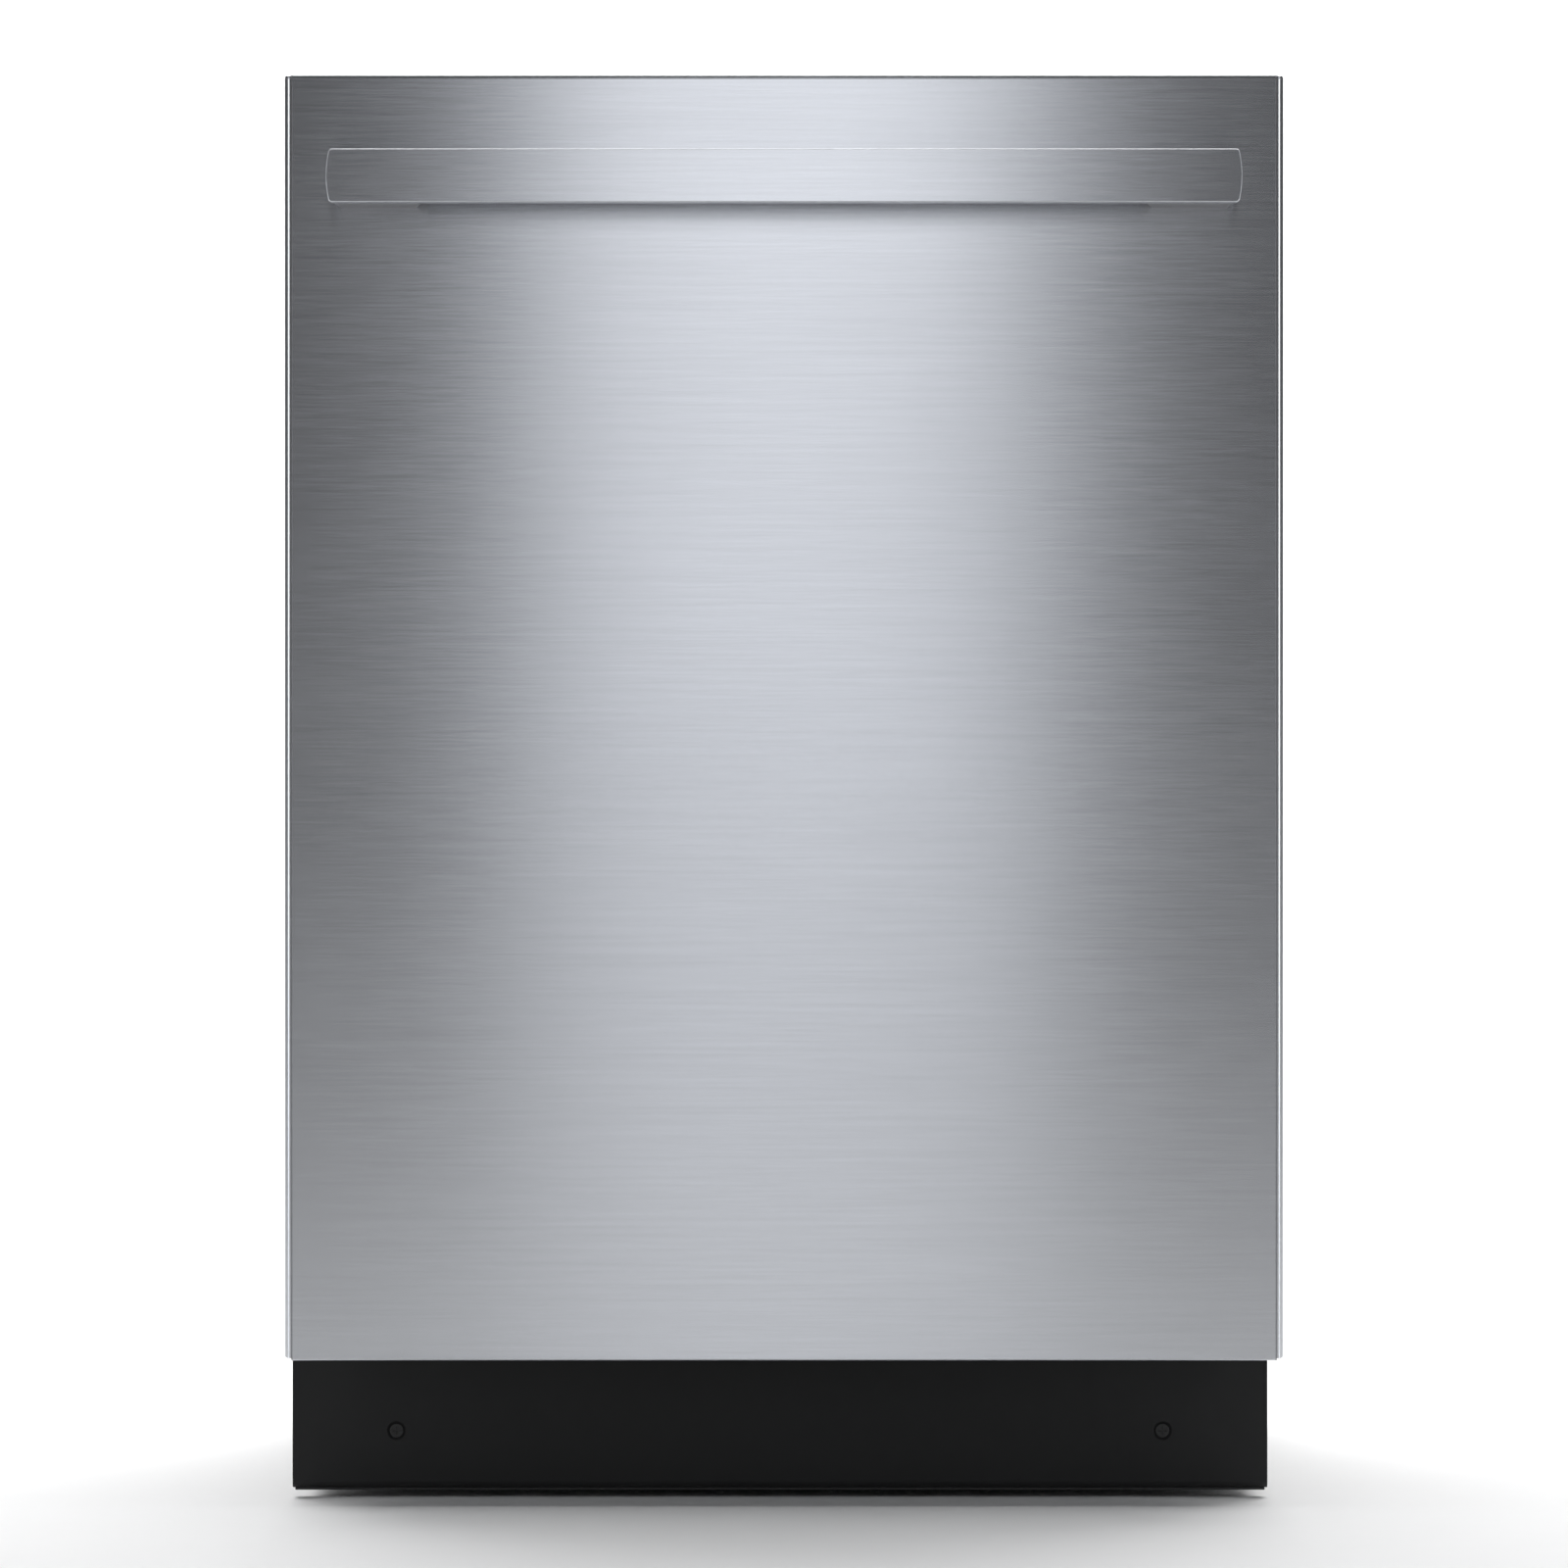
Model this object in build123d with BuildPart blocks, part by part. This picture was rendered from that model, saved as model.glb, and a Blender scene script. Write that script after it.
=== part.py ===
"""A 24 inch built-in dishwasher with a bar handle and hidden controls, as an assembly of separate pieces.

Frame: millimetres, +Z up, the door faces -Y, +X is to the right of somebody facing the door.
The origin is on the floor, under the middle of the outline. The door is closed and the racks are in.
"""

import os

from build123d import *

os.makedirs("parts", exist_ok=True)

# ---------------------------------------------------------------- driving dimensions

WIDTH = 598.5  # across the door
HEIGHT = 860.0  # floor to the mounting tabs, feet screwed right in
DEPTH = 603.0  # door face to the back of the base
HANDLE_REACH = 47.0  # door face to the front of the handle bar

FRONT = HANDLE_REACH - (DEPTH + HANDLE_REACH) / 2  # y of the door face
BACK = FRONT + DEPTH
HALF = WIDTH / 2

DOOR_TOP = HEIGHT - 2.0
DOOR_BOTTOM = 87.8
HINGE_Y = FRONT + 28.0  # the door turns about a line along X, low down inside its own thickness
HINGE_Z = DOOR_BOTTOM + 30.2
LINER_Y = HINGE_Y + 30.0  # the door's inner face
SHEET = 1.0  # door sheet

TUB_FRONT = FRONT + 66.0
TUB_BACK = 300.0
TUB_HALF = 274.0
TUB_TOP = 826.0
TUB_FLOOR = 133.0
LEDGE_Z = 148.0  # the wheels of the lower rack run at this height, level with the open door's inner face
TUB_SHEET = 1.2

BASE_HALF = 290.3
BASE_FRONT = -210.0
BASE_BOTTOM = 20.0
BASE_TOP = 146.0
BASE_WALL = 3.0

RACK_FRONT = -195.0
RACK_BACK = 268.0
RACK_HALF = 246.0
RIM_R = 3.0  # rim wire
WIRE_R = 1.8  # basket wire
TINE_R = 1.6
TOUCH = 0.05  # gap left at each welded crossing, so that wires stay separate solids

ARM_X, ARM_Y = 0.0, 45.0  # all three spray arms turn about this upright line

LEG_PLACES = {
    "front_left_leg": (-255.0, -120.0),
    "front_right_leg": (255.0, -120.0),
    "rear_leg": (0.0, 283.0),
}

# ---------------------------------------------------------------- helpers


def block(low, high, mode=Mode.ADD):
    """A box between two corners, added to or cut from the part being built."""
    size = [h - l for l, h in zip(low, high)]
    with Locations(low):
        Box(*size, align=(Align.MIN, Align.MIN, Align.MIN), mode=mode)


def both_sides(low, high, mode=Mode.ADD):
    """A box on the right and its mirror image on the left."""
    block(low, high, mode)
    block((-high[0], low[1], low[2]), (-low[0], high[1], high[2]), mode)


def rod(start, direction, radius, length, mode=Mode.ADD):
    """A round bar from start along a direction."""
    with Locations(Plane(origin=start, z_dir=direction)):
        Cylinder(radius, length, align=(Align.CENTER, Align.CENTER, Align.MIN), mode=mode)


def save(builder, node):
    """Writes one finished piece as its own node."""
    builder.part.label = node
    export_step(builder.part, f"parts/{node}.step")


def save_group(solids, node):
    """Writes a group of separate like pieces as one node."""
    group = Compound(label=node, children=[s for part in solids for s in part.solids()])
    export_step(group, f"parts/{node}.step")


def straight_run(start, direction, radius, length):
    """One straight length of wire with square ends."""
    with BuildPart() as wire:
        rod(start, direction, radius, length)
    return wire.part


def straight_wire(start, direction, radius, length):
    """One straight wire with a slightly rounded free end."""
    with BuildPart() as wire:
        rod(start, direction, radius, length)
        fillet(wire.edges().sort_by(Axis(start, direction))[-1], radius * 0.6)
    return wire.part


def rim(z, half, front, back, radius, bend=28.0):
    """A loop of wire round a rack at height z, as four straights and four corner bends."""
    pieces = []
    for side in (-1, 1):
        length = back - front - 2 * bend
        pieces.append(straight_run((side * half, front + bend, z), (0, 1, 0), radius, length))
    for y in (front, back):
        pieces.append(straight_run((-half + bend, y, z), (1, 0, 0), radius, 2 * (half - bend)))
    for x, y, start in (
        (half - bend, back - bend, 0),
        (-half + bend, back - bend, 90),
        (-half + bend, front + bend, 180),
        (half - bend, front + bend, 270),
    ):
        with BuildPart() as corner:
            with Locations(Location((x, y, z), (0, 0, start))):
                Torus(bend, radius, major_angle=90)
        pieces.append(corner.part)
    return pieces


def spread(first, last, count):
    """Evenly spaced values from first to last."""
    return [first + (last - first) * i / (count - 1) for i in range(count)]


# ---------------------------------------------------------------- door: outer panel

SIDE_BEND = 4.7
TOP_BEND = 3.0
RETURN_DEPTH = 26.0  # how far the sheet folds back round the door
PANEL_BACK = FRONT + RETURN_DEPTH
TOP_RETURN = 11.0
RELIEF = 1.3  # the side folds stop this far above the bottom fold

HANDLE_X = 271.6  # half length of the bar at mid height
HANDLE_END_RISE = 2.0  # how far each bar end bulges
HANDLE_Z = 793.3
HANDLE_HIGH = 31.6
BAR_THICK = 12.0
ARM_INNER, ARM_OUTER = 214.7, 267.4
HANDLE_SCREW_X = (228.0, 256.0)
HANDLE_SCREW_R = 2.4

with BuildPart() as door_panel:
    block((-HALF, FRONT, DOOR_BOTTOM), (HALF, PANEL_BACK, DOOR_TOP))
    fillet(door_panel.edges().filter_by(Axis.Z).group_by(Axis.Y)[0], SIDE_BEND)
    fillet(door_panel.faces().sort_by(Axis.Z)[-1].edges().group_by(Axis.Y)[0], TOP_BEND)
    fillet(door_panel.faces().sort_by(Axis.Z)[0].edges().group_by(Axis.Y)[0], 0.8)
    offset(amount=-SHEET, openings=door_panel.faces().sort_by(Axis.Y)[-1])
    # the top fold is short, so that the keys behind it can be reached
    block(
        (6 - HALF, FRONT + TOP_RETURN, DOOR_TOP - 2),
        (HALF - 6, PANEL_BACK + 1, DOOR_TOP + 1),
        Mode.SUBTRACT,
    )
    # the bottom fold is notched at both ends for the hinges, and the side folds end in a small relief
    both_sides(
        (HALF - 11, FRONT + 2, DOOR_BOTTOM - 1),
        (HALF - 1.2, PANEL_BACK + 1, DOOR_BOTTOM + 2),
        Mode.SUBTRACT,
    )
    both_sides(
        (HALF - 4.4, FRONT - 1, DOOR_BOTTOM - 1),
        (HALF + 1, PANEL_BACK + 1, DOOR_BOTTOM + RELIEF),
        Mode.SUBTRACT,
    )
    for side in (-1, 1):
        with BuildSketch(Plane.XZ.offset(-FRONT + 1)):
            corner = (side * HALF, DOOR_BOTTOM + RELIEF)
            with Locations((corner[0] - side * 1.25, corner[1] + 1.25)):
                Rectangle(2.5, 2.5)
            with Locations((corner[0] - side * 2.5, corner[1] + 2.5)):
                Circle(2.5, mode=Mode.SUBTRACT)
        extrude(amount=-RETURN_DEPTH - 2, mode=Mode.SUBTRACT)
        for x in HANDLE_SCREW_X:
            rod((side * x, FRONT - 1, HANDLE_Z), (0, 1, 0), HANDLE_SCREW_R + 0.3, 4, Mode.SUBTRACT)
save(door_panel, "door_panel")

# ---------------------------------------------------------------- door: bar handle and its two arms

with BuildPart() as handle_bar:
    with BuildSketch(Plane.XZ.offset(-FRONT + HANDLE_REACH)):
        with BuildLine():
            corner_x = HANDLE_X - HANDLE_END_RISE
            top_z, low_z = HANDLE_Z + HANDLE_HIGH / 2, HANDLE_Z - HANDLE_HIGH / 2
            Line((-corner_x, top_z), (corner_x, top_z))
            ThreePointArc((corner_x, top_z), (HANDLE_X, HANDLE_Z), (corner_x, low_z))
            Line((corner_x, low_z), (-corner_x, low_z))
            ThreePointArc((-corner_x, low_z), (-HANDLE_X, HANDLE_Z), (-corner_x, top_z))
        make_face()
        fillet(vertices(), 2.4)
    extrude(amount=-BAR_THICK)
    fillet(handle_bar.faces().sort_by(Axis.Y)[0].edges(), 0.6)
    fillet(handle_bar.faces().sort_by(Axis.Y)[-1].edges(), 0.8)
save(handle_bar, "handle_bar")


def handle_arm(side):
    """One arm: a flat-sided block that narrows a little towards the door."""
    bar_back = FRONT - HANDLE_REACH + BAR_THICK
    with BuildPart() as arm:
        with BuildSketch(Plane.XY.offset(HANDLE_Z - HANDLE_HIGH / 2)):
            with BuildLine():
                Polyline(
                    (side * ARM_INNER, bar_back),
                    (side * ARM_OUTER, bar_back),
                    (side * (ARM_OUTER - 1.5), FRONT),
                    (side * (ARM_INNER + 5), FRONT),
                    close=True,
                )
            make_face()
        extrude(amount=HANDLE_HIGH)
        fillet(arm.edges().filter_by(GeomType.LINE).filter_by(Axis.Z).group_by(Axis.Y)[0], 0.8)
        fillet(arm.faces().sort_by(Axis.Z)[-1].edges().group_by(Axis.Y)[1:-1], 1.2)
        fillet(arm.faces().sort_by(Axis.Z)[0].edges().group_by(Axis.Y)[1:-1], 1.2)
        for x in HANDLE_SCREW_X:
            rod((side * x, FRONT + 1, HANDLE_Z), (0, -1, 0), HANDLE_SCREW_R + 0.1, 19, Mode.SUBTRACT)
    return arm.part


save_group([handle_arm(-1), handle_arm(1)], "handle_arms")

# ---------------------------------------------------------------- screws


def pan_screw(seat, direction, head_r, shank_r, length):
    """A pan head screw with a cross recess: seat is the middle of the head's underside."""
    with BuildPart() as screw:
        rod(seat, direction, shank_r, length)
        rod(seat, [-d for d in direction], head_r, head_r * 0.6)
        outer = Plane(origin=seat, z_dir=[-d for d in direction]).offset(head_r * 0.6)
        with Locations(outer):
            Box(head_r, 0.9, 1.6, mode=Mode.SUBTRACT)
            Box(0.9, head_r, 1.6, mode=Mode.SUBTRACT)
    return screw.part


handle_screws = [
    pan_screw((side * x, FRONT + SHEET, HANDLE_Z), (0, -1, 0), 4.2, HANDLE_SCREW_R, 18)
    for side in (-1, 1)
    for x in HANDLE_SCREW_X
]

# ---------------------------------------------------------------- door: inside

LINER_HALF = 292.0
LINER_LOW, LINER_TOP = HINGE_Z + 4.0, 846.0
LINER_RIM = 9.0
SCREW_HEIGHTS = (200.0, 320.0, 440.0, 560.0, 680.0, 780.0)
SCREW_X = HALF - 13.5
DISPENSER = (-40.0, 96.0, 430.0, 545.0)  # x from, x to, z from, z to

with BuildPart() as door_liner:
    block((-LINER_HALF, LINER_Y - LINER_RIM, LINER_LOW), (LINER_HALF, LINER_Y, LINER_TOP))
    fillet(door_liner.edges().filter_by(Axis.Y), 10)
    fillet(door_liner.faces().sort_by(Axis.Y)[-1].edges(), 2.5)
    offset(amount=-0.8, openings=door_liner.faces().sort_by(Axis.Y)[0])
    block(
        (DISPENSER[0], LINER_Y - 12, DISPENSER[2]),
        (DISPENSER[1], LINER_Y + 1, DISPENSER[3]),
        Mode.SUBTRACT,
    )
    for z in SCREW_HEIGHTS:
        for side in (-1, 1):
            rod((side * SCREW_X, LINER_Y - 2, z), (0, 1, 0), 1.5, 4, Mode.SUBTRACT)
save(door_liner, "door_liner")


def side_channel(side):
    """An open steel section that joins the outer panel to the liner and carries the hinge arm."""
    near, far = side * (HALF - 24.0), side * (HALF - 2.0)
    front, rear = FRONT + 6.0, LINER_Y - 1.2
    with BuildPart() as channel:
        with BuildSketch(Plane.XY.offset(HINGE_Z + 14)):
            with BuildLine() as section:
                Polyline((far, front), (near, front), (near, rear), (side * (LINER_HALF - 3.6), rear))
                offset(amount=-1.5, side=Side.RIGHT if side > 0 else Side.LEFT)
            make_face()
        extrude(amount=806 - HINGE_Z - 14)
        low, high = sorted((near + side * 1.2, side * (HALF - 5.1)))
        block((low, HINGE_Y - 9, HINGE_Z + 46), (high, HINGE_Y + 9, HINGE_Z + 104))
        for z in (60, 95):
            rod((side * (HALF - 4), HINGE_Y, HINGE_Z + z), (-side, 0, 0), 2.2, 12, Mode.SUBTRACT)
        for z in SCREW_HEIGHTS:
            rod((side * SCREW_X, LINER_Y - 6, z), (0, 1, 0), 1.5, 9, Mode.SUBTRACT)
    return channel.part


save_group([side_channel(-1), side_channel(1)], "door_channels")

with BuildPart() as door_pad:
    block((25 - HALF, FRONT + 6, 135), (HALF - 25, LINER_Y - LINER_RIM - 14, 770))
    fillet(door_pad.edges().filter_by(Axis.Y), 8)
    block(
        (DISPENSER[0] - 6, FRONT + 18, DISPENSER[2] - 6),
        (DISPENSER[1] + 6, LINER_Y, DISPENSER[3] + 6),
        Mode.SUBTRACT,
    )
save(door_pad, "door_insulation")


def hinge_arm(side):
    """A flat steel arm: an eye on the hinge pin, a strap up the door and a tail for the balance cable."""
    inner = side * (HALF - 5.0)
    with BuildPart() as arm:
        with BuildSketch(Plane.YZ.offset(inner)):
            with Locations((HINGE_Y, HINGE_Z)):
                Circle(10)
            with Locations((HINGE_Y, HINGE_Z + 55)):
                SlotOverall(110, 20, rotation=90)
            with Locations((HINGE_Y + 30, HINGE_Z - 1)):
                SlotOverall(76, 12, rotation=-4)
            with Locations((HINGE_Y, HINGE_Z)):
                Circle(4.1, mode=Mode.SUBTRACT)
            with Locations((HINGE_Y + 62, HINGE_Z - 3.2), (HINGE_Y, HINGE_Z + 60), (HINGE_Y, HINGE_Z + 95)):
                Circle(2.2, mode=Mode.SUBTRACT)
        extrude(amount=3.0 * side)
    return arm.part


save_group([hinge_arm(-1), hinge_arm(1)], "hinge_arms")

HOUSING_HALF = 292.0
HOUSING_TOP = 853.0
HOUSING_LOW = 812.0
KEY_FRONT, KEY_BACK = -262.0, -246.0
KEYS = {
    "key_power": (-236.0, 34.0),
    "key_program": (-110.0, 40.0),
    "key_start": (236.0, 34.0),
}
DISPLAY_HALF = 48.0
STRIKE_HALF = 9.0

with BuildPart() as control_housing:
    block((-HOUSING_HALF, -274, HOUSING_LOW), (HOUSING_HALF, LINER_Y - LINER_RIM - 1, HOUSING_TOP))
    block(
        (2 - HOUSING_HALF, -271.8, HOUSING_LOW - 1),
        (HOUSING_HALF - 2, -232, HOUSING_TOP - 2),
        Mode.SUBTRACT,
    )
    block(
        (-HOUSING_HALF, LINER_Y - LINER_RIM - 1, LINER_TOP + 0.6),
        (HOUSING_HALF, LINER_Y - 0.6, HOUSING_TOP),
    )
    fillet(control_housing.faces().sort_by(Axis.Z)[-1].edges().filter_by(Axis.X), 1.0)
    # ribs between the keys
    for x in (-200, -150, -60, 60, 120, 180):
        block((x - 0.8, -271.9, 846.5), (x + 0.8, -231.9, HOUSING_TOP - 1.9))
    for x, wide in KEYS.values():
        block(
            (x - wide / 2 - 0.35, KEY_FRONT - 0.35, HOUSING_TOP - 4),
            (x + wide / 2 + 0.35, KEY_BACK + 0.35, HOUSING_TOP + 1),
            Mode.SUBTRACT,
        )
    block(
        (-DISPLAY_HALF, KEY_FRONT, HOUSING_TOP - 1),
        (DISPLAY_HALF, KEY_BACK, HOUSING_TOP + 1),
        Mode.SUBTRACT,
    )
    block(
        (2 - DISPLAY_HALF, KEY_FRONT + 2, HOUSING_TOP - 4),
        (DISPLAY_HALF - 2, KEY_BACK - 2, HOUSING_TOP + 1),
        Mode.SUBTRACT,
    )
    # the strike enters here
    block((-STRIKE_HALF - 4, -241, 844), (STRIKE_HALF + 4, -215, HOUSING_TOP + 1), Mode.SUBTRACT)
save(control_housing, "control_housing")

for node, (x, wide) in KEYS.items():
    with BuildPart() as key:
        block((x - wide / 2, KEY_FRONT, HOUSING_TOP - 3), (x + wide / 2, KEY_BACK, HOUSING_TOP + 2.4))
        fillet(key.edges().filter_by(Axis.Z), 2.0)
        fillet(key.faces().sort_by(Axis.Z)[-1].edges(), 0.6)
        block(
            (x - wide / 2 - 1.5, KEY_FRONT - 1.5, HOUSING_TOP - 4),
            (x + wide / 2 + 1.5, KEY_BACK + 1.5, HOUSING_TOP - 2.4),
        )
    save(key, node)

with BuildPart() as display:
    block(
        (0.2 - DISPLAY_HALF, KEY_FRONT + 0.2, HOUSING_TOP - 1),
        (DISPLAY_HALF - 0.2, KEY_BACK - 0.2, HOUSING_TOP + 0.4),
    )
    fillet(display.edges().filter_by(Axis.Z), 1.5)
save(display, "display_window")

with BuildPart() as control_board:
    block((-262, -264, 838.0), (262, -244, 839.6))
    for x, wide in KEYS.values():
        block((x - 3, -257, 839.6), (x + 3, -251, 844.5))
    block((-40, -260, 839.6), (40, -248, 846))
    for x in (-252, -160, -60, 60, 160, 252):
        rod((x, -254, 830), (0, 0, 1), 2.5, 8.5)
save(control_board, "control_board")

with BuildPart() as door_latch:
    block((-24, -262, 815), (24, -243, 833))
    fillet(door_latch.edges().filter_by(Axis.Y), 3.0)
    block((-20, -243.1, 819), (20, -233, 836))
    block((-7, -243.1, 835.9), (7, -236.5, 843.5))
save(door_latch, "door_latch")

# detergent dispenser: a moulded body set in the liner, with a sliding lid and a rinse aid cap
lid_x = (DISPENSER[0] + 8, DISPENSER[0] + 60)
lid_z = (DISPENSER[2] + 10, DISPENSER[2] + 52)
cap_x, cap_z, cap_r = DISPENSER[1] - 28, DISPENSER[3] - 44, 17.0
LID_TRAVEL = 46.0
with BuildPart() as dispenser:
    block((DISPENSER[0] + 0.3, -256, DISPENSER[2] + 0.3), (DISPENSER[1] - 0.3, LINER_Y, DISPENSER[3] - 0.3))
    fillet(dispenser.edges().filter_by(Axis.Y), 5)
    with BuildSketch(Plane.XZ.offset(-LINER_Y)):
        with Locations(((DISPENSER[0] + DISPENSER[1]) / 2, (DISPENSER[2] + DISPENSER[3]) / 2)):
            RectangleRounded(DISPENSER[1] - DISPENSER[0] + 8, DISPENSER[3] - DISPENSER[2] + 8, 8)
    extrude(amount=-1.6)
    # the lid's track, then the detergent well under it
    block(
        (lid_x[0] - 0.4, LINER_Y - 2.6, lid_z[0] - 0.4),
        (lid_x[1] + 0.4, LINER_Y + 2, lid_z[1] + LID_TRAVEL + 0.4),
        Mode.SUBTRACT,
    )
    block((lid_x[0] + 5, -250, lid_z[0] + 5), (lid_x[1] - 5, LINER_Y, lid_z[1] - 5), Mode.SUBTRACT)
    rod((cap_x, LINER_Y - 3, cap_z), (0, 1, 0), cap_r + 1.5, 6, Mode.SUBTRACT)
    rod((cap_x, -250, cap_z), (0, 1, 0), 9, 40, Mode.SUBTRACT)
save(dispenser, "dispenser")

with BuildPart() as dispenser_lid:
    block((lid_x[0], LINER_Y - 2.3, lid_z[0]), (lid_x[1], LINER_Y + 0.9, lid_z[1]))
    fillet(dispenser_lid.edges().filter_by(Axis.Y), 3)
    block((lid_x[0] + 14, LINER_Y + 0.5, lid_z[1] - 12), (lid_x[1] - 14, LINER_Y + 2.6, lid_z[1] - 8.5))
save(dispenser_lid, "dispenser_lid")

with BuildPart() as rinse_cap:
    rod((cap_x, LINER_Y - 2.7, cap_z), (0, 1, 0), cap_r, 4.2)
    rod((cap_x, LINER_Y - 12, cap_z), (0, 1, 0), 8.7, 9.4)
    block((cap_x - 3, LINER_Y + 1.2, cap_z - cap_r + 3), (cap_x + 3, LINER_Y + 3.4, cap_z + cap_r - 3))
save(rinse_cap, "rinse_aid_cap")

with BuildPart() as lip_seal:
    with BuildSketch(Plane.YZ.offset(-270)):
        with Locations((LINER_Y + 0.8, HINGE_Z + 12)):
            Rectangle(1.6, 8)
        with Locations((LINER_Y + 3.2, HINGE_Z + 15.2)):
            Rectangle(3.6, 1.6)
    extrude(amount=540)
save(lip_seal, "door_lip_seal")

liner_screws = [
    pan_screw((side * SCREW_X, LINER_Y + 0.02, z), (0, -1, 0), 2.4, 1.4, 9)
    for side in (-1, 1)
    for z in SCREW_HEIGHTS
]
save_group(handle_screws + liner_screws, "door_screws")

# ---------------------------------------------------------------- toe kick

KICK_LEFT, KICK_RIGHT = -297.9, 293.0
KICK_Y = FRONT + 60.0
KICK_TOP, KICK_LOW = 91.0, 6.2
KICK_SHEET = 1.2
KICK_SCREW_X = (-234.9, 229.5)
KICK_SCREW_Z = 40.8

with BuildPart() as toe_kick:
    with BuildSketch(Plane.YZ.offset(KICK_LEFT)):
        with BuildLine() as kick_line:
            FilletPolyline(
                (KICK_Y + 8, KICK_TOP),
                (KICK_Y, KICK_TOP),
                (KICK_Y, KICK_LOW),
                (KICK_Y + 14, KICK_LOW),
                radius=4.5,
            )
            offset(amount=-KICK_SHEET, side=Side.LEFT)
        make_face()
    extrude(amount=KICK_RIGHT - KICK_LEFT)
    for x in KICK_SCREW_X:
        with Locations(Plane(origin=(x, KICK_Y, KICK_SCREW_Z), z_dir=(0, 1, 0))):
            Cone(7.0, 4.4, 2.4, align=(Align.CENTER, Align.CENTER, Align.MIN))
            Cone(5.8, 3.2, 2.4, align=(Align.CENTER, Align.CENTER, Align.MIN), mode=Mode.SUBTRACT)
            Cylinder(2.3, 6, mode=Mode.SUBTRACT)
save(toe_kick, "toe_kick")

with BuildPart() as kick_strip:
    block((KICK_LEFT + 1.5, KICK_Y + 3.5, KICK_LOW - 1.5), (KICK_RIGHT - 1.5, KICK_Y + 13, KICK_LOW - 0.02))
save(kick_strip, "toe_kick_strip")

kick_screws = []
for x in KICK_SCREW_X:
    with BuildPart() as kick_screw:
        with Locations(Plane(origin=(x, KICK_Y + 0.3, KICK_SCREW_Z), z_dir=(0, 1, 0))):
            Cone(4.15, 2.0, 2.4, align=(Align.CENTER, Align.CENTER, Align.MIN))
            Cylinder(2.0, 17, align=(Align.CENTER, Align.CENTER, Align.MIN))
            Box(5.4, 1.2, 2.4, mode=Mode.SUBTRACT)
            Box(1.2, 5.4, 2.4, mode=Mode.SUBTRACT)
    kick_screws.append(kick_screw.part)

# ---------------------------------------------------------------- base, legs, hinge brackets

INLET = (-220.0, 66.0)  # x, z of the water inlet thread
DRAIN = (-150.0, 66.0)
CABLE = (200.0, 66.0)
SUMP = (24.0, 20.0)

INNER = BASE_HALF - BASE_WALL - 0.05
base_panels = []
with BuildPart() as base_floor:
    block((-INNER, BASE_FRONT + 3.05, BASE_BOTTOM), (INNER, BACK - 3.05, BASE_BOTTOM + 3))
    for x, y in LEG_PLACES.values():
        rod((x, y, BASE_BOTTOM), (0, 0, 1), 11, 60)
        rod((x, y, BASE_BOTTOM - 1), (0, 0, 1), 6.05, 80, Mode.SUBTRACT)
    for y in (-150, 0, 150):
        block((-INNER, y - 1.5, BASE_BOTTOM + 1), (INNER, y + 1.5, BASE_BOTTOM + 8))
base_panels.append(base_floor.part)
for side in (-1, 1):
    near, far = sorted((side * (BASE_HALF - BASE_WALL), side * BASE_HALF))
    with BuildPart() as base_side:
        block((near, BASE_FRONT, BASE_BOTTOM), (far, BACK, 120))
    base_panels.append(base_side.part)
    # beam under the tub, on two posts
    middle = side * 236.5
    for low, high in (
        ((-150, 118), (260, TUB_FLOOR - 0.1)),
        ((-140, 29), (-130, 117.95)),
        ((250, 29), (260, 117.95)),
    ):
        with BuildPart() as beam:
            block((middle - 2, low[0], low[1]), (middle + 2, high[0], high[1]))
        base_panels.append(beam.part)
with BuildPart() as base_front:
    block((-INNER, BASE_FRONT, BASE_BOTTOM), (INNER, BASE_FRONT + BASE_WALL, 120))
    block((-200, BASE_FRONT - 1, 34), (205, BASE_FRONT + 5, 112), Mode.SUBTRACT)
    # bosses that hold the toe kick off the panel
    for x in KICK_SCREW_X:
        block((x - 20, KICK_Y + 3.0, 26), (x + 20, BASE_FRONT + 0.5, 76))
        block((x - 16, KICK_Y + 4.6, 52), (x + 16, BASE_FRONT - 0.5, 73), Mode.SUBTRACT)
        rod((x, KICK_Y, KICK_SCREW_Z), (0, 1, 0), 2.1, 20, Mode.SUBTRACT)
base_panels.append(base_front.part)
with BuildPart() as base_back:
    block((-INNER, BACK - BASE_WALL, BASE_BOTTOM), (INNER, BACK, 120))
    # openings for water and drain, and a collar for the cable
    block(
        (INLET[0] - 22, BACK - 5, INLET[1] - 24),
        (INLET[0] + 22, BACK + 1, INLET[1] + 24),
        Mode.SUBTRACT,
    )
    rod((DRAIN[0], BACK - 5, DRAIN[1]), (0, 1, 0), 16, 8, Mode.SUBTRACT)
    rod((CABLE[0], BACK - 12, CABLE[1]), (0, 1, 0), 15, 12)
    rod((CABLE[0], BACK - 20, CABLE[1]), (0, 1, 0), 11.1, 30, Mode.SUBTRACT)
base_panels.append(base_back.part)
save_group(base_panels, "base_tray")

for node, (x, y) in LEG_PLACES.items():
    with BuildPart() as leg:
        rod((x, y, 0), (0, 0, 1), 20, 5)
        fillet(leg.edges().group_by(Axis.Z)[-1], 2)
        with BuildSketch(Plane.XY.offset(4.9)):
            with Locations((x, y)):
                RegularPolygon(10, 6)
        extrude(amount=8.1)
        rod((x, y, 5), (0, 0, 1), 6.0, 105)
        chamfer(leg.edges().group_by(Axis.Z)[-1], 1)
    save(leg, node)

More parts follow.
